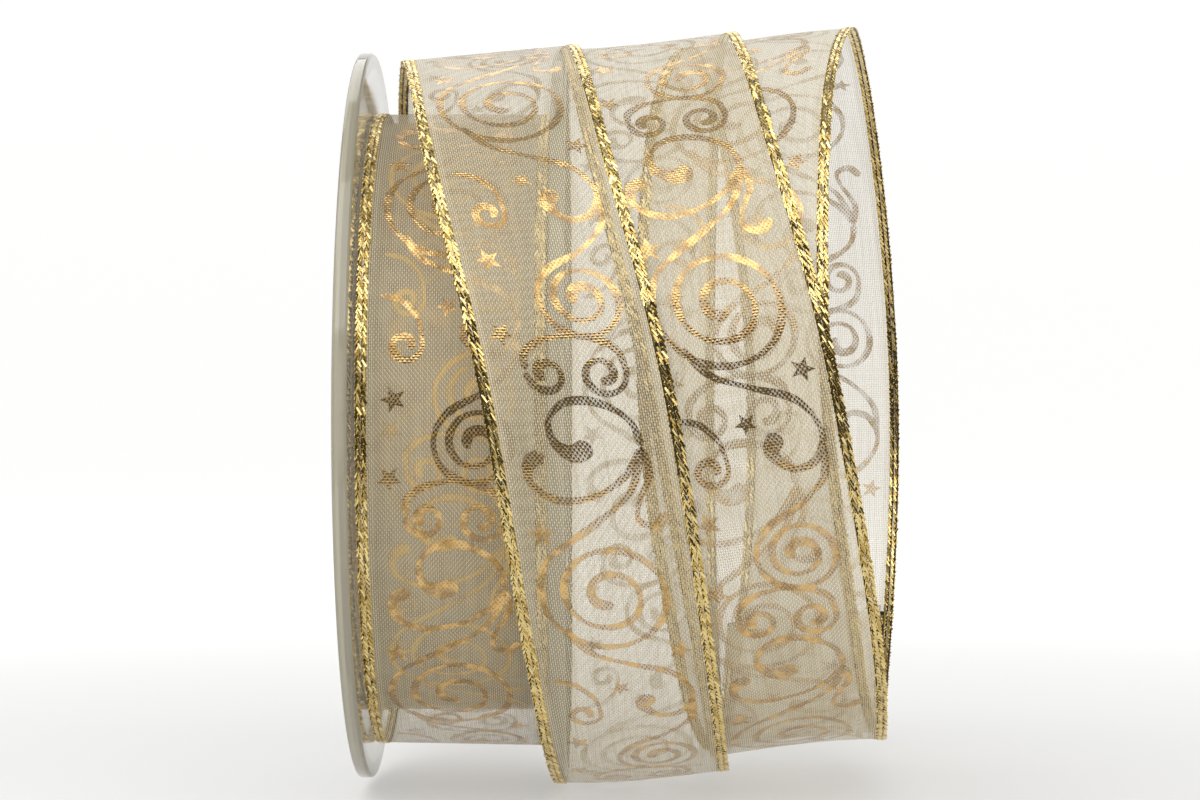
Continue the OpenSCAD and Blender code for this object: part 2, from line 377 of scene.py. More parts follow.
def makeCloth(name, sheer=True):
    material, net = newMaterial(name)
    uv, s, v = clothPlaces(net)
    warp, weft, crowns = yarnLines(net, uv, s, v)
    slubWarp = streaks(net, s, v, 60, 2900)
    slubWeft = streaks(net, s, v, 2200, 60)
    warpYarn = (warp + slubWarp * 0.9 - 0.45).ramp(-0.35, 0.45)
    weftYarn = (weft + slubWeft * 0.9 - 0.45).ramp(-0.10, 0.60)
    yarns = warpYarn.most(weftYarn)
    # darker where the warp is thick, as its own tone, and off the yarns' crowns as painted shade of the weave
    slubToneAndWeaveShade = (slubWarp - crowns * 0.2).ramp(0.35, 0.75) * 0.8
    tint, mean = net.mixColour(slubToneAndWeaveShade, clothLook["ivory"], clothLook["shade"]), clothLook["ivory"]
    if not sheer:            # deep in the roll the scrolls only show as warm arcs
        bend = net.clothNoise(uv, 170, 1, out=1)
        bent = net.node("ShaderNodeVectorMath", {"operation": "MULTIPLY_ADD"}, {
            0: bend, 1: (6 * mm, 6 * mm, 0), 2: uv})
        cells = net.node("ShaderNodeTexVoronoi", {"voronoi_dimensions": "2D"}, {"Vector": bent, "Scale": 52})
        arcs = (cells * (2 * math.pi * 2.3)).cosine().ramp(0.15, 0.9)
        tint = net.mixColour(arcs * 0.9, clothLook["packed"], clothLook["packedPrint"])
        mean = clothLook["packed"]
    bump = net.node("ShaderNodeBump", {}, {"Strength": 0.6, "Distance": 0.06 * mm, "Height": yarns})
    body = net.node("ShaderNodeBsdfPrincipled", {}, {
        "Base Color": tint, "Roughness": 0.55, "Specular IOR Level": 0.35, "Sheen Weight": 0.25,
        "Normal": bump})
    glow = net.node("ShaderNodeBsdfTranslucent", {}, {"Color": mean, "Normal": bump})
    cloth = net.node("ShaderNodeMixShader", {}, {0: clothLook["through"], 1: body, 2: glow})
    if sheer:
        selvedge = v.maths("ABSOLUTE", v).ramp((webHalf - 1.2) * mm, (webHalf - 0.4) * mm)
        cover = warpYarn * clothLook["warpAlpha"] + weftYarn * clothLook["weftAlpha"] + clothLook["holeAlpha"]
        cover = (cover + crowns * clothLook["crownAlpha"] + selvedge * 0.14).least(0.97)
        clear = net.node("ShaderNodeBsdfTransparent")
        cloth = net.node("ShaderNodeMixShader", {}, {0: cover, 1: clear, 2: cloth})
    net.node("ShaderNodeOutputMaterial", {}, {"Surface": cloth})
    return material


foilLook = {
    "bright": colour(0.76, 0.51, 0.215),
    "deep": colour(0.38, 0.215, 0.07),
    "roughness": 0.17,
    "metal": 0.94,           # the rest is the binder's own yellow
    "coverLow": 0.16,        # foil left between the yarns' crowns
}


def makeFoil(name):
    material, net = newMaterial(name)
    uv, s, v = clothPlaces(net)
    warp, weft, yarnTops = yarnLines(net, uv, s, v)
    rim = net.node("ShaderNodeAttribute", {"attribute_name": "rim"}, out=2)
    worn = net.clothNoise(uv, 420, 2)
    crowns = (yarnTops * 1.3 + warp * 0.3 + worn * 2.6 - 1.15).ramp(-0.5, 0.5, foilLook["coverLow"], 1.0)
    outline = rim ** 5 * worn.ramp(0.25, 0.55) * 0.85
    tone = net.mixColour(worn.ramp(0.3, 0.7), foilLook["deep"], foilLook["bright"])
    sparkle = net.clothNoise(uv, 2300, 0)
    relief = warp * 0.5 + weft * 0.5 + yarnTops * 0.5 + sparkle * 2.0
    bump = net.node("ShaderNodeBump", {}, {"Strength": 0.8, "Distance": 0.014 * mm, "Height": relief})
    foil = net.node("ShaderNodeBsdfPrincipled", {}, {
        "Base Color": tone, "Metallic": foilLook["metal"], "Roughness": foilLook["roughness"],
        "Alpha": crowns.most(outline), "Normal": bump})
    net.node("ShaderNodeOutputMaterial", {}, {"Surface": foil})
    return material


sunkLook = {
    "lit": colour(0.92, 0.58, 0.07),
    "dim": colour(0.70, 0.42, 0.04),
    "metal": 0.1,
    "roughness": 0.5,
}


def makeSunkFoil(name):
    # the print of the turns beneath, dulled by the cloth that lies over it
    material, net = newMaterial(name)
    uv = net.node("ShaderNodeUVMap", {"uv_map": "UVMap"})
    worn = net.clothNoise(uv, 300, 2)
    rim = net.node("ShaderNodeAttribute", {"attribute_name": "rim"}, out=2)
    bump = net.node("ShaderNodeBump", {}, {"Strength": 0.5, "Distance": 0.05 * mm, "Height": worn})
    foil = net.node("ShaderNodeBsdfPrincipled", {}, {
        "Base Color": net.mixColour(worn.ramp(0.3, 0.7), sunkLook["dim"], sunkLook["lit"]),
        "Metallic": sunkLook["metal"], "Roughness": sunkLook["roughness"],
        "Alpha": (1 - rim ** 3 * 0.55) * worn.ramp(0.15, 0.45, 0.6, 1.0), "Normal": bump})
    net.node("ShaderNodeOutputMaterial", {}, {"Surface": foil})
    return material


goldLook = {
    "light": colour(0.90, 0.73, 0.35),
    "middle": colour(0.76, 0.57, 0.21),
    "dark": colour(0.48, 0.33, 0.10),
    # ground: nearly black, painted shade in the gaps between the braid's yarns
    "ground": colour(0.035, 0.024, 0.009),
}


def makeGoldYarn(name):
    material, net = newMaterial(name)
    tone = net.node("ShaderNodeAttribute", {"attribute_name": "tone"}, out=2)
    shade = net.node("ShaderNodeValToRGB", {"stops": [
        (0.0, goldLook["dark"][:3]), (0.4, goldLook["middle"][:3]), (1.0, goldLook["light"][:3])]}, {0: tone})
    place = net.node("ShaderNodeTexCoord", {}, {}, out=3)
    lame = net.node("ShaderNodeTexNoise", {}, {"Vector": place, "Scale": 5200, "Detail": 1})
    bump = net.node("ShaderNodeBump", {}, {"Strength": 0.5, "Distance": 0.012 * mm, "Height": lame})
    gold = net.node("ShaderNodeBsdfPrincipled", {}, {
        "Base Color": shade, "Metallic": 1.0, "Roughness": 0.17, "Normal": bump})
    net.node("ShaderNodeOutputMaterial", {}, {"Surface": gold})
    return material


def makeGoldGround(name, ground, rough=0.5, woundPitch=None):
    material, net = newMaterial(name)
    place = net.node("ShaderNodeTexCoord", {}, {}, out=3)
    grain = net.node("ShaderNodeTexNoise", {}, {"Vector": place, "Scale": 2600, "Detail": 2})
    shade = net.mixColour(grain.ramp(0.35, 0.65), ground, tuple(min(1, c * 2.2) for c in ground[:3]) + (1,))
    height = grain
    if woundPitch:           # painted shade: dark lines in the gaps between the wound turns
        parts = net.node("ShaderNodeSeparateXYZ", {}, {0: place}).socket.node.outputs
        y, z = Link(net, parts[1]), Link(net, parts[2])
        turns = (((y * y + z * z) ** 0.5) * (2 * math.pi / woundPitch) + grain * 1.6).cosine().ramp(-0.9, 0.1)
        shade = net.mixColour(turns, goldLook["ground"], shade)
        height = grain + turns
    bump = net.node("ShaderNodeBump", {}, {"Strength": 0.8, "Distance": 0.08 * mm, "Height": height})
    body = net.node("ShaderNodeBsdfPrincipled", {}, {
        "Base Color": shade, "Metallic": 0.85, "Roughness": rough, "Normal": bump})
    net.node("ShaderNodeOutputMaterial", {}, {"Surface": body})
    return material


flangeLook = {
    "tint": colour(0.82, 0.79, 0.70),
    "milk": colour(0.66, 0.61, 0.51),
    "rim": colour(0.44, 0.41, 0.31),
    "milkShare": 0.13,
    "roughness": 0.05,
    "ringPitch": 0.9 * mm,
}


def makeFlangePlastic(name):
    material, net = newMaterial(name)
    place = net.node("ShaderNodeTexCoord", {}, {}, out=3)
    parts = net.node("ShaderNodeSeparateXYZ", {}, {0: place}).socket.node.outputs
    y, z = Link(net, parts[1]), Link(net, parts[2])
    radius = (y * y + z * z) ** 0.5
    atRim = radius.ramp((rimRadius - 2.6) * mm, (rimRadius - 1.8) * mm)
    rings = (radius * (2 * math.pi / flangeLook["ringPitch"])).cosine()
    flow = net.node("ShaderNodeTexNoise", {}, {"Vector": place, "Scale": 90, "Detail": 3})
    scuffs = net.node("ShaderNodeTexNoise", {}, {"Vector": place, "Scale": 900, "Detail": 2})
    bump = net.node("ShaderNodeBump", {}, {
        "Strength": 0.3, "Distance": 0.02 * mm, "Height": rings * 0.1 + flow * 1.2 + scuffs * 0.2})
    rough = flow.ramp(0.35, 0.65, flangeLook["roughness"], flangeLook["roughness"] * 2)
    clear = net.node("ShaderNodeBsdfPrincipled", {}, {
        "Base Color": net.mixColour(atRim, flangeLook["tint"], flangeLook["rim"]), "Roughness": rough,
        "Transmission Weight": 1.0, "IOR": 1.59, "Normal": bump})
    milk = net.node("ShaderNodeBsdfPrincipled", {}, {
        "Base Color": net.mixColour(atRim, flangeLook["milk"], flangeLook["rim"]), "Roughness": rough,
        "Specular IOR Level": 0.6, "Normal": bump})
    plastic = net.node("ShaderNodeMixShader", {}, {
        0: atRim * 0.45 + flangeLook["milkShare"], 1: clear, 2: milk})
    net.node("ShaderNodeOutputMaterial", {}, {"Surface": plastic})
    return material


coreLook = {
    "board": colour(0.62, 0.53, 0.41),
    "fibre": colour(0.48, 0.39, 0.28),
    "plyPitch": 22 * mm,
}


def makeCoreBoard(name):
    material, net = newMaterial(name)
    place = net.node("ShaderNodeTexCoord", {}, {}, out=3)
    parts = net.node("ShaderNodeSeparateXYZ", {}, {0: place}).socket.node.outputs
    x, y, z = (Link(net, p) for p in parts)
    turn = x.maths("ARCTAN2", y, z) / (2 * math.pi)
    seam = (x / coreLook["plyPitch"] + turn).fraction()
    line = seam.ramp(0.0, 0.02, 1, 0)
    fibres = net.node("ShaderNodeTexNoise", {}, {"Vector": place, "Scale": 1400, "Detail": 4})
    shade = net.mixColour(fibres.ramp(0.3, 0.7), coreLook["fibre"], coreLook["board"])
    shade = net.mixColour(line * 0.6, shade, coreLook["fibre"])
    bump = net.node("ShaderNodeBump", {}, {"Strength": 0.4, "Distance": 0.1 * mm, "Height": fibres - line})
    board = net.node("ShaderNodeBsdfPrincipled", {}, {"Base Color": shade, "Roughness": 0.85, "Normal": bump})
    net.node("ShaderNodeOutputMaterial", {}, {"Surface": board})
    return material


def makeWireSteel(name):
    material, net = newMaterial(name)
    place = net.node("ShaderNodeTexCoord", {}, {}, out=3)
    drawn = net.node("ShaderNodeTexNoise", {}, {"Vector": place, "Scale": 3000, "Detail": 1})
    steel = net.node("ShaderNodeBsdfPrincipled", {}, {
        "Base Color": colour(0.62, 0.60, 0.56), "Metallic": 1.0, "Roughness": drawn.ramp(0.3, 0.7, 0.18, 0.4)})
    net.node("ShaderNodeOutputMaterial", {}, {"Surface": steel})
    return material


def makeTapeFilm(name):
    material, net = newMaterial(name)
    place = net.node("ShaderNodeTexCoord", {}, {}, out=3)
    waves = net.node("ShaderNodeTexNoise", {}, {"Vector": place, "Scale": 240, "Detail": 2})
    bump = net.node("ShaderNodeBump", {}, {"Strength": 0.3, "Distance": 0.1 * mm, "Height": waves})
    film = net.node("ShaderNodeBsdfPrincipled", {}, {
        "Base Color": colour(0.92, 0.91, 0.84), "Roughness": 0.12, "Alpha": waves.ramp(0.3, 0.7, 0.2, 0.3),
        "Normal": bump})
    net.node("ShaderNodeOutputMaterial", {}, {"Surface": film})
    return material


sheerCloth = makeCloth("sheer_cloth")
packedCloth = makeCloth("packed_cloth", sheer=False)
copperFoil = makeFoil("copper_foil")
sunkFoil = makeSunkFoil("sunk_foil")
goldYarn = makeGoldYarn("gold_yarn")
# the nearly black ground under the braids is painted shade for the gaps between the yarns
goldGapShadeGround = makeGoldGround("gold_ground_gap_shade", goldLook["ground"])
goldStack = makeGoldGround("gold_stack", colour(0.44, 0.30, 0.09), rough=0.38, woundPitch=rollPitch * mm)
flangePlastic = makeFlangePlastic("flange_plastic")
coreBoard = makeCoreBoard("core_board")
wireSteel = makeWireSteel("wire_steel")
tapeFilm = makeTapeFilm("tape_film")
print("materials made")


def newTree(name, inputs):
    tree = bpy.data.node_groups.new(name, "GeometryNodeTree")
    tree.interface.new_socket("Geometry", in_out="INPUT", socket_type="NodeSocketGeometry")
    for label, kind in inputs:
        tree.interface.new_socket(label, in_out="INPUT", socket_type="NodeSocket" + kind)
    tree.interface.new_socket("Geometry", in_out="OUTPUT", socket_type="NodeSocketGeometry")
    net = Net(tree)
    source = tree.nodes.new("NodeGroupInput")
    given = {socket.name: Link(net, socket) for socket in source.outputs if socket.name}
    return tree, net, given


def finishTree(net, geometry):
    net.node("NodeGroupOutput", {}, {0: geometry})


def wrapOnRibbon(net, flat, ribbon):
    # x and y of the flat shape are metres along and across the ribbon, z stands off it
    surface = net.node("GeometryNodeObjectInfo", {}, {"Object": ribbon}, out=4)
    cloth = net.node("GeometryNodeInputNamedAttribute", {"data_type": "FLOAT_VECTOR"}, {"Name": "UVMap"})
    here = net.node("GeometryNodeInputPosition")
    parts = net.node("ShaderNodeSeparateXYZ", {}, {0: here}).socket.node.outputs
    spot = net.node("ShaderNodeCombineXYZ", {}, {0: Link(net, parts[0]), 1: Link(net, parts[1])})
    found = []
    for field in ("GeometryNodeInputPosition", "GeometryNodeInputNormal"):
        sample = net.node("GeometryNodeSampleUVSurface", {"data_type": "FLOAT_VECTOR"}, {
            "Mesh": surface, "Value": net.node(field), 2: cloth, "Sample UV": spot})
        found.append(sample)
    valid = Link(net, found[0].socket.node.outputs[1])
    off = net.node("ShaderNodeVectorMath", {"operation": "SCALE"}, {0: found[1], "Scale": Link(net, parts[2])})
    place = net.node("ShaderNodeVectorMath", {"operation": "ADD"}, {0: found[0], 1: off})
    stray = net.node("FunctionNodeBooleanMath", {"operation": "NOT"}, {0: valid})
    kept = net.node("GeometryNodeDeleteGeometry", {"domain": "POINT"}, {"Geometry": flat, "Selection": stray})
    return net.node("GeometryNodeSetPosition", {}, {"Geometry": kept, "Position": place})


def makePrintTree():
    tree, net, given = newTree("repeatPrint", [
        ("Ribbon", "Object"), ("Repeat Length", "Float"), ("Repeats", "Int"), ("First Repeat", "Float"),
        ("Finish", "Material")])
    first = net.node("ShaderNodeCombineXYZ", {}, {0: given["First Repeat"]})
    step = net.node("ShaderNodeCombineXYZ", {}, {0: given["Repeat Length"]})
    row = net.node("GeometryNodeMeshLine", {"mode": "OFFSET"}, {
        "Count": given["Repeats"], "Start Location": first, "Offset": step})
    copies = net.node("GeometryNodeInstanceOnPoints", {}, {"Points": row, "Instance": given["Geometry"]})
    flat = net.node("GeometryNodeRealizeInstances", {}, {0: copies})
    uvHere = net.node("GeometryNodeInputPosition")
    marked = net.node("GeometryNodeStoreNamedAttribute", {"data_type": "FLOAT2", "domain": "CORNER"}, {
        "Geometry": flat, "Name": "UVMap", "Value": uvHere})
    wrapped = wrapOnRibbon(net, marked, given["Ribbon"])
    finishTree(net, net.node("GeometryNodeSetMaterial", {}, {"Geometry": wrapped, "Material": given["Finish"]}))
    return tree


def makeBraidTree():
    tree, net, given = newTree("braidEdge", [
        ("Ribbon", "Object"), ("From", "Float"), ("Rows", "Int"), ("Row Pitch", "Float"), ("Columns", "Int"),
        ("Middle", "Float"), ("Column Pitch", "Float"), ("Slant", "Float"), ("Lift", "Float"), ("Seed", "Int"),
        ("Finish", "Material")])
    long = (given["Rows"] - 1) * given["Row Pitch"]
    wide = (given["Columns"] - 1) * given["Column Pitch"]
    grid = net.node("GeometryNodeMeshGrid", {}, {
        "Size X": long, "Size Y": wide, "Vertices X": given["Rows"], "Vertices Y": given["Columns"]})
    order = net.node("GeometryNodeInputIndex")
    odd = (order % given["Columns"]) % 2       # neighbouring columns lean against each other
    jog = odd * given["Row Pitch"] * 0.5 + long * 0.5 + given["From"]
    shake = net.chance(-0.06, 0.06, given["Seed"])
    middle = given["Middle"] + shake * given["Column Pitch"] * 2
    moveBy = net.node("ShaderNodeCombineXYZ", {}, {
        0: jog + shake * given["Row Pitch"], 1: middle, 2: given["Lift"] * (odd - 0.4)})
    placed = net.node("GeometryNodeSetPosition", {}, {"Geometry": grid, "Offset": moveBy})
    twist = net.chance(-0.14, 0.14, given["Seed"] + 1)
    turn = given["Slant"] * (odd * 2 - 1) + twist
    tip = net.chance(-0.2, 0.2, given["Seed"] + 4)
    aim = net.node("ShaderNodeCombineXYZ", {}, {0: tip * 2, 1: tip * 0.4, 2: turn})
    size = net.chance(0.84, 1.1, given["Seed"] + 2)
    sizes = net.node("ShaderNodeCombineXYZ", {}, {0: size, 1: size, 2: size})
    yarns = net.node("GeometryNodeInstanceOnPoints", {}, {
        "Points": placed, "Instance": given["Geometry"],
        "Rotation": net.node("FunctionNodeEulerToRotation", {}, {0: aim}), "Scale": sizes})
    tone = net.chance(0.0, 1.0, given["Seed"] + 3)
    toned = net.node("GeometryNodeStoreNamedAttribute", {"data_type": "FLOAT", "domain": "INSTANCE"}, {
        "Geometry": yarns, "Name": "tone", "Value": tone})
    flat = net.node("GeometryNodeRealizeInstances", {}, {0: toned})
    wrapped = wrapOnRibbon(net, flat, given["Ribbon"])
    finishTree(net, net.node("GeometryNodeSetMaterial", {}, {"Geometry": wrapped, "Material": given["Finish"]}))
    return tree


def grown(name, seedPiece, tree, values, smooth=True):
    # runs a tree on a copy of the seed shape and keeps the result as a plain mesh
    seed = bpy.data.objects.new(name + "Seed", seedPiece.data.copy())
    bpy.context.scene.collection.objects.link(seed)
    modifier = seed.modifiers.new(tree.name, "NODES")
    modifier.node_group = tree
    names = {item.name: item.identifier for item in tree.interface.items_tree if item.in_out == "INPUT"}
    for label, value in values.items():
        modifier[names[label]] = value
    bpy.context.view_layer.update()
    graph = bpy.context.evaluated_depsgraph_get()
    mesh = bpy.data.meshes.new_from_object(
        seed.evaluated_get(graph), preserve_all_data_layers=True, depsgraph=graph)
    mesh.name = name
    bpy.data.objects.remove(seed)
    piece = bpy.data.objects.new(name, mesh)
    bpy.context.scene.collection.objects.link(piece)
    mesh.polygons.foreach_set("use_smooth", [smooth] * len(mesh.polygons))
    mesh.update()
    return piece


printTree = makePrintTree()
braidTree = makeBraidTree()


printLook = {
    "repeat": 74.2,
    "line": 1.02,            # width of a scroll's line
    "blob": 2.6,             # width of a comma's head
    "standOff": 0.045,
}


class FlatShape:
    # built as a drawing: x to the right across the ribbon, y down along it

    def __init__(self):
        self.verts, self.faces, self.rim = [], [], []

    def stroke(self, points, thick, head=0.0, foot=0.0):
        # a band along points; head and foot are the widths its ends swell to
        first, count = len(self.verts), len(points)
        lengths = [0.0]
        for a, b in zip(points, points[1:]):
            lengths.append(lengths[-1] + math.dist(a, b))
        total = lengths[-1]
        for k, point in enumerate(points):
            ahead, behind = points[min(k + 1, count - 1)], points[max(k - 1, 0)]
            fromStart, fromEnd = lengths[k], total - lengths[k]
            width = thick * (0.86 + 0.2 * math.sin(fromStart * 0.55))
            for end, swell in ((fromStart, head), (fromEnd, foot)):
                if swell:
                    width += (swell - thick) * math.exp(-((end - 1.5) / 2.6) ** 2)
            width *= min(1, 0.25 + fromStart / 0.7) * min(1, 0.25 + fromEnd / 0.7)
            side = Vector((behind[1] - ahead[1], ahead[0] - behind[0])).normalized() * width / 2
            for place in (-1, -0.5, 0, 0.5, 1):
                self.verts.append((point[0] + side.x * place, point[1] + side.y * place))
                self.rim.append(abs(place))
        for k in range(count - 1):
            for j in range(4):
                a = first + k * 5 + j
                self.faces.append((a, a + 1, a + 6, a + 5))

    def star(self, x, y, size, turn):
        middle = len(self.verts)
        self.verts.append((x, y))
        self.rim.append(0.3)
        for k in range(10):
            r = size if k % 2 == 0 else size * 0.42
            angle = turn + math.pi * k / 5
            self.verts.append((x + r * math.cos(angle), y + r * math.sin(angle)))
            self.rim.append(1.0)
        for k in range(10):
            self.faces.append((middle, middle + 1 + (k + 1) % 10, middle + 1 + k))


def curl(x, y, outer, inner, turns, startAngle, hand):
    # from the outside in; angles run clockwise from the right, hand is 1 or -1
    steps = int(turns * 40)
    points = []
    for k in range(steps + 1):
        u = k / steps
        r = outer + (inner - outer) * u ** 1.1
        angle = math.radians(startAngle) + hand * 2 * math.pi * turns * u
        points.append((x + r * math.cos(angle), y + r * math.sin(angle)))
    return points


def flowing(knots, perSpan=10):
    points = []
    for k in range(len(knots) - 1):
        p0, p3 = Vector(knots[max(k - 1, 0)]), Vector(knots[min(k + 2, len(knots) - 1)])
        p1, p2 = Vector(knots[k]), Vector(knots[k + 1])
        for j in range(perSpan):
            u = j / perSpan
            p = 0.5 * ((2 * p1) + (p2 - p0) * u + (2 * p0 - 5 * p1 + 4 * p2 - p3) * u * u
                       + (3 * p1 - p0 - 3 * p2 + p3) * u ** 3)
            points.append((p.x, p.y))
    points.append(tuple(knots[-1]))
    return points


def drawMotif():
    shape = FlatShape()
    line, blob = printLook["line"], printLook["blob"]

    # two little curls under one arch
    shape.stroke(curl(-3.3, 12.4, 2.6, 0.7, 1.2, 190, -1), line, foot=1.6)
    arch = flowing([(-5.9, 12.0), (-5.6, 9.6), (-2.6, 7.7), (2.2, 7.5), (6.0, 9.2), (6.9, 12.2)])
    shape.stroke(arch + curl(3.9, 12.6, 3.0, 0.7, 1.35, 0, 1)[1:], line, foot=1.5)
    # comma with its head to the left, whose stem parts into three tails
    comma = flowing([(0.6, 21.6), (-1.6, 22.8), (-3.9, 21.4), (-4.2, 18.4), (-1.6, 16.1), (2.4, 16.3),
                     (6.0, 18.8), (7.0, 22.4)])
    shape.stroke(comma, line * 1.15, head=blob)
    hook = flowing([(7.0, 22.4), (4.4, 26.0), (0.2, 28.4), (-4.6, 28.9), (-7.8, 26.8), (-7.6, 24.0),
                    (-5.6, 23.0)])
    shape.stroke(hook, line, foot=blob * 0.85)
    barb = flowing([(7.0, 22.4), (7.4, 26.0), (5.6, 29.6), (5.2, 32.0), (7.2, 33.0), (8.8, 31.4)])
    shape.stroke(barb, line * 0.9, foot=1.3)
    # the middle tail runs down into the large scroll
    stem = flowing([(7.0, 22.4), (4.6, 28.2), (-0.8, 32.4), (-6.6, 36.4), (-8.5, 39.6), (-8.9, 42.2)])
    shape.stroke(stem + curl(-0.1, 42.4, 8.8, 1.1, 2.3, 180, -1)[1:], line, foot=1.9)
    # from the scroll's foot into a second comma, with its head to the left
    runner = flowing([(-6.4, 47.4), (-3.6, 51.4), (1.4, 53.8), (6.4, 56.0), (8.9, 60.2), (7.6, 64.0),
                      (4.4, 64.8), (2.2, 62.4), (3.4, 60.0)])
    shape.stroke(runner, line, foot=blob)
    # the small scroll hangs from that comma's back
    drop = flowing([(8.7, 61.6), (8.3, 66.0), (4.8, 69.6), (0.4, 72.0), (-1.7, 74.4), (-2.2, 76.4)])
    shape.stroke(drop + curl(3.4, 76.6, 5.6, 0.9, 2.1, 180, -1)[1:], line, foot=1.6)
    # a sprig in the margin beside it
    sprig = flowing([(-9.2, 56.6), (-6.4, 57.4), (-4.2, 60.0), (-3.6, 63.4)])
    shape.stroke(sprig + curl(-5.9, 63.6, 2.3, 0.6, 1.15, 0, 1)[1:], line * 0.85, foot=1.4)
    for x, y, size, turn in ((-8.0, 7.0, 1.75, 0.3), (-7.6, 33.6, 1.9, 0.9), (8.0, 52.2, 1.7, 0.1),
                             (-0.4, 58.2, 1.5, 0.5), (-7.4, 70.8, 1.8, 0.6)):
        shape.star(x, y, size, turn)
    return shape


motifShape = drawMotif()
motifPoints = [(y * mm, x * mm, printLook["standOff"] * mm) for x, y in motifShape.verts]
motif = newPiece("motif", motifPoints, motifShape.faces)
motif.data.attributes.new("rim", "FLOAT", "POINT").data.foreach_set("value", motifShape.rim)

yarnLook = {
    "length": 1.20 * mm,
    "width": 0.36 * mm,
    "height": 0.14 * mm,
    "sides": 6,
    "squareness": 0.55,      # below 1 the yarn is flatter than an ellipse
    "rings": [(0.0, 0.45), (0.08, 0.92), (0.5, 1.0), (0.92, 0.92), (1.0, 0.45)],
}


def makeYarn():
    verts, faces = [], []
    sides = yarnLook["sides"]
    for place, share in yarnLook["rings"]:
        for j in range(sides):
            angle = 2 * math.pi * j / sides
            y, z = (math.copysign(abs(w) ** yarnLook["squareness"], w)
                    for w in (math.cos(angle), math.sin(angle)))
            verts.append(((place - 0.5) * yarnLook["length"], y * share * yarnLook["width"] / 2,
                          z * share * yarnLook["height"] / 2))
    for k in range(len(yarnLook["rings"]) - 1):
        for j in range(sides):
            a, b = k * sides + j, k * sides + (j + 1) % sides
            faces.append((a, b, b + sides, a + sides))
    last = (len(yarnLook["rings"]) - 1) * sides
    faces.append(tuple(reversed(range(sides))))
    faces.append(tuple(last + j for j in range(sides)))
    return newPiece("yarn", verts, faces)


yarn = makeYarn()
print("motif and yarn drawn")


start, end = looseRoute["turnStart"], looseRoute["turnEnd"]
steps = looseRoute["stepsPerTurn"]
guideHalf = ribbonHalf + 0.2     # a little wider than the ribbon, so that nothing at its edge is lost
sheerHalf = webHalf + 0.9        # the web runs on under the gold edges
guide, looseLength = ribbonSheet("looseGuide", loosePoint, start, end, steps, -guideHalf, guideHalf, 26)
looseWeb, looseLength = ribbonSheet("looseWeb", loosePoint, start, end, steps, -sheerHalf, sheerHalf, 24)
looseWeb.data.materials.append(sheerCloth)
print("loose ribbon", round(looseLength, 3), "m")

smallScrollAt = 0.197        # turn at which one of the small scrolls lies
turnsToScroll = turnsBetween(start, smallScrollAt, steps)
scrollLength = lengthsAlong(turnsToScroll, loosePoint)[-1]
repeat = printLook["repeat"] * mm
firstRepeat = scrollLength - math.ceil(scrollLength / repeat) * repeat

loosePrint = grown("loosePrint", motif, printTree, {
    "Ribbon": guide, "Repeat Length": repeat, "Repeats": int(looseLength / repeat) + 3,
    "First Repeat": firstRepeat - repeat, "Finish": copperFoil})

braidLook = {
    "rowPitch": 0.78 * mm,
    "columns": 4,
    "columnPitch": 0.345 * mm,
    "slant": 0.38,
    "lift": 0.09 * mm,
    "parts": 3,
    "groundThick": 0.05,
}

braidSizes = {
    "Row Pitch": braidLook["rowPitch"], "Columns": braidLook["columns"],
    "Column Pitch": braidLook["columnPitch"], "Slant": braidLook["slant"], "Lift": braidLook["lift"],
    "Finish": goldYarn}

looseTrim = []
for side, sideName in ((-1, "left"), (1, "right")):
    inner, outer = side * (webHalf + 0.1), side * (ribbonHalf - 0.12)
    low, high = min(inner, outer), max(inner, outer)
    half = braidLook["groundThick"] / 2
    ground = ribbonTape(sideName + "EdgeGround", loosePoint, start, end, steps // 2, low, high, -half, half)
    ground.data.materials.append(goldGapShadeGround)
    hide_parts(sideName + "_gold_edge")
    looseTrim.append(ground)
    rows = int(looseLength / braidLook["rowPitch"])
    share = rows // braidLook["parts"]
    for part in range(braidLook["parts"]):
        count = share if part < braidLook["parts"] - 1 else rows - share * part
        braid = grown(sideName + "Braid" + str(part + 1), yarn, braidTree, {
            **braidSizes, "Ribbon": guide, "From": part * share * braidLook["rowPitch"] + 0.4 * mm,
            "Rows": count, "Middle": side * goldMiddle * mm, "Seed": 11 + part + 10 * (side + 1)}, smooth=False)
        looseTrim.append(braid)
    wire = ribbonWire(sideName + "Wire", loosePoint, start, end + 0.004, steps // 2, side * goldMiddle, 0.1)
    wire.data.materials.append(wireSteel)
    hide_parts(sideName + "_edge_wire")
    looseTrim.append(wire)
print("gold edges braided")

tapeLook = {"from": -2 / 48, "to": 3 / 48, "half": 6.0, "gap": 0.05, "thick": 0.08}


def tapePoint(turn, across, out=0.0):
    past = max(0, (turn - end) / tapeLook["to"])
    rise = past * (along(turn - 1, 2) - along(turn, 2))
    return loosePoint(min(turn, 2.8), across, out + rise)


endTape = ribbonTape("endTape", tapePoint, end + tapeLook["from"], end + tapeLook["to"], 480, -tapeLook["half"],
                     tapeLook["half"], -tapeLook["gap"] - tapeLook["thick"], -tapeLook["gap"])
endTape.data.materials.append(tapeFilm)
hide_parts("end_tape")
looseTrim.append(endTape)

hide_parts("outer_turn", "loose_turn_1", "loose_turn_2", "loose_turn_3")
for piece in [looseWeb, loosePrint] + looseTrim:
    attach(piece, "loose_ribbon")


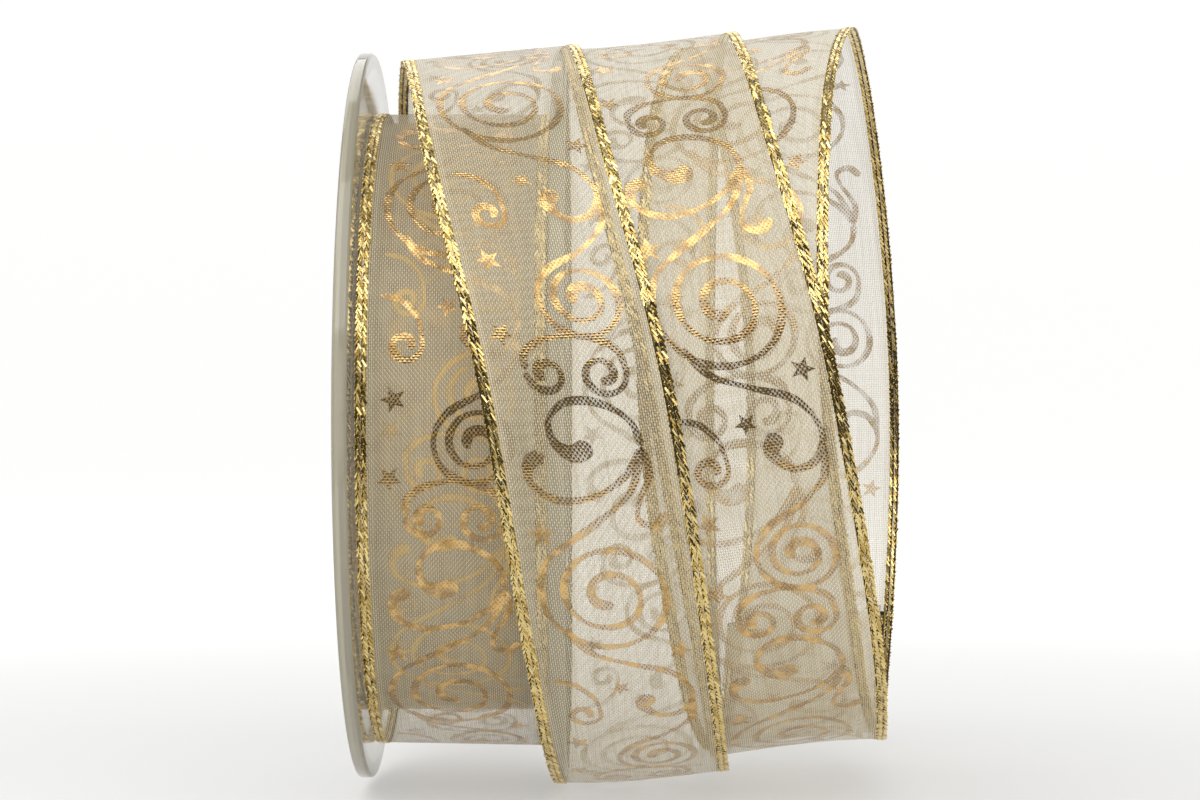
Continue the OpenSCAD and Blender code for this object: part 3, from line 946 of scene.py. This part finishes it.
rollEnd = start + 0.12        # it runs on a little under the loose ribbon's start
sheerStart = rollEnd - rollRoute["sheerTurns"]
rollStart = start - rollRoute["turns"]
rollSteps = rollRoute["stepsPerTurn"]
packedWeb, packedLength = ribbonSheet("packedWeb", rollPoint, rollStart, sheerStart, 72,
                                      -webHalf - 0.5, webHalf + 0.5, 6)
packedWeb.data.materials.append(packedCloth)
outerWeb, outerLength = ribbonSheet("outerWeb", rollPoint, sheerStart, rollEnd, rollSteps,
                                    -sheerHalf, sheerHalf, 12)
outerWeb.data.materials.append(sheerCloth)
rollGuide, guideLength = ribbonSheet("rollGuide", rollPoint, sheerStart - 1, rollEnd, rollSteps,
                                     -guideHalf, guideHalf, 12)
rollPrint = grown("rollPrint", motif, printTree, {
    "Ribbon": rollGuide, "Repeat Length": repeat, "Repeats": int(guideLength / repeat) + 3,
    "First Repeat": -0.6 * repeat, "Finish": sunkFoil})

rollTrim = []
for side, sideName in ((-1, "left"), (1, "right")):
    inner, outer = side * webHalf, side * (ribbonHalf - 0.05)
    low, high = min(inner, outer), max(inner, outer)
    stack = ribbonTape(sideName + "Stack", rollPoint, rollStart, rollEnd - 1, 96, low, high, -0.2, 0.16)
    stack.data.materials.append(goldStack)
    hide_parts("wound_" + sideName + "_edge")
    rollTrim.append(stack)
    topGround = ribbonTape(sideName + "TopGround", rollPoint, rollEnd - 1, rollEnd, 120, low, high, -0.1, 0.04)
    topGround.data.materials.append(goldGapShadeGround)
    rollTrim.append(topGround)
    lastTurn = guideLength - 2 * math.pi * rollRadius * mm
    rows = int((guideLength - lastTurn) / braidLook["rowPitch"])
    rollTrim.append(grown(sideName + "TopBraid", yarn, braidTree, {
        **braidSizes, "Ribbon": rollGuide, "From": lastTurn, "Rows": rows,
        "Middle": side * goldMiddle * mm, "Seed": 71 + side}, smooth=False))

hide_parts("wound_web")
for piece in [packedWeb, outerWeb, rollPrint] + rollTrim:
    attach(piece, "spool")
print("roll wound", round(packedLength + outerLength, 2), "m")

for helper in (motif, yarn, guide, rollGuide):
    bpy.data.objects.remove(helper)


def dress(node, material):
    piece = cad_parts[node]
    piece.data.materials.clear()
    piece.data.materials.append(material)


dress("left_flange", flangePlastic)
dress("right_flange", flangePlastic)
dress("core_tube", coreBoard)
dress("starter_tape", tapeFilm)


studio = {
    "floorZ": cadBox[0][2] - 0.6 * mm,
    "floorRadius": 1.1,
    "bend": 0.5,
    "wallHigh": 0.9,
    "skyLight": 0.33,
    "paperNear": 0.38,       # painted light: glow of the paper under the spool, dimmer there as painted shade
    "paperFar": 0.66,        # painted light: the brighter glow of the paper all round it
}


def makeBackdrop():
    # a round sweep of white paper, the same from every side
    radius, bend = studio["floorRadius"], studio["bend"]
    profile = [(radius * k / 4, 0.0) for k in range(1, 5)]
    for k in range(1, 13):
        rise = math.pi / 2 * k / 12
        profile.append((radius + bend * math.sin(rise), bend * (1 - math.cos(rise))))
    profile.append((radius + bend, studio["wallHigh"]))
    sides = 96
    verts = [(0, 0, studio["floorZ"])]
    for r, z in profile:
        for j in range(sides):
            angle = 2 * math.pi * j / sides
            verts.append((r * math.cos(angle), r * math.sin(angle), studio["floorZ"] + z))
    faces = [(0, 1 + j, 1 + (j + 1) % sides) for j in range(sides)]
    for k in range(len(profile) - 1):
        for j in range(sides):
            a, b = 1 + k * sides + j, 1 + k * sides + (j + 1) % sides
            faces.append((a, a + sides, b + sides, b))
    backdrop = newPiece("backdrop", verts, faces)
    material, net = newMaterial("backdrop_paper")
    place = net.node("ShaderNodeTexCoord", {}, {}, out=3)
    # the paper's glow is painted light that lights the spool from below, dimmer near the spool as painted shade
    away = net.node("ShaderNodeVectorMath", {"operation": "LENGTH"}, {0: place}, out=1).ramp(0.08, 0.5)
    near, far = studio["paperNear"], studio["paperFar"]
    glow = net.mixColour(away, colour(near, near, near), colour(far, far, far))
    paper = net.node("ShaderNodeBsdfPrincipled", {}, {
        "Base Color": colour(0.45, 0.45, 0.445), "Roughness": 0.9,
        "Emission Color": glow, "Emission Strength": 1.0})
    net.node("ShaderNodeOutputMaterial", {}, {"Surface": paper})
    backdrop.data.materials.append(material)


def makeFlag():
    # a curved black card before the spool that only the metal's reflections meet
    profile = [(0.17, 0.001), (0.50, 0.001), (0.90, 0.02), (0.90, 0.45)]
    reach, sides = math.radians(62), 24
    verts, faces = [], []
    for r, z in profile:
        for j in range(sides + 1):
            angle = reach * (2 * j / sides - 1)
            verts.append((r * math.sin(angle), -r * math.cos(angle), studio["floorZ"] + z))
    for k in range(len(profile) - 1):
        for j in range(sides):
            a = k * (sides + 1) + j
            faces.append((a, a + sides + 1, a + sides + 2, a + 1))
    flag = newPiece("blackFlag", verts, faces)
    material, net = newMaterial("flag_felt")
    felt = net.node("ShaderNodeBsdfPrincipled", {}, {
        "Base Color": colour(0.012, 0.011, 0.01), "Roughness": 1.0})
    net.node("ShaderNodeOutputMaterial", {}, {"Surface": felt})
    flag.data.materials.append(material)
    flag.visible_camera = flag.visible_diffuse = flag.visible_shadow = flag.visible_transmission = False


def makeLight(name, place, target, size, power, tint=(1, 1, 1)):
    data = bpy.data.lights.new(name, "AREA")
    data.shape, data.size, data.size_y = "RECTANGLE", size[0], size[1]
    data.energy, data.color = power, tint
    light = bpy.data.objects.new(name, data)
    light.location = place
    light.rotation_euler = (Vector(target) - Vector(place)).to_track_quat("-Z", "Y").to_euler()
    bpy.context.scene.collection.objects.link(light)


def makeSky():
    world = bpy.data.worlds.new("room")
    world.use_nodes = True
    world.node_tree.nodes.clear()
    net = Net(world.node_tree)
    sky = net.node("ShaderNodeBackground", {}, {"Color": colour(1, 1, 1), "Strength": studio["skyLight"]})
    net.node("ShaderNodeOutputWorld", {}, {"Surface": sky})
    bpy.context.scene.world = world


makeBackdrop()
makeFlag()
makeSky()
middle = (0.02, 0, 0)
makeLight("frontSoftbox", (0.10, -0.48, 0.60), middle, (1.0, 0.7), 3.9, (1, 0.985, 0.95))
makeLight("leftSoftbox", (-0.40, -0.20, 0.62), middle, (0.5, 0.5), 1.5)
makeLight("backSoftbox", (-0.2, 0.45, 0.6), middle, (0.6, 0.5), 1.5)

cameraData = bpy.data.cameras.new("camera")
cameraData.lens = 87.5
cameraData.sensor_width = 36
camera = bpy.data.objects.new("camera", cameraData)
camera.location = (0.0196, -0.426, 0.0022)
camera.rotation_euler = (math.radians(90), 0, 0)
bpy.context.scene.collection.objects.link(camera)
bpy.context.scene.camera = camera

scene = bpy.context.scene
scene.view_settings.view_transform = "Standard"
scene.cycles.transparent_max_bounces = 48
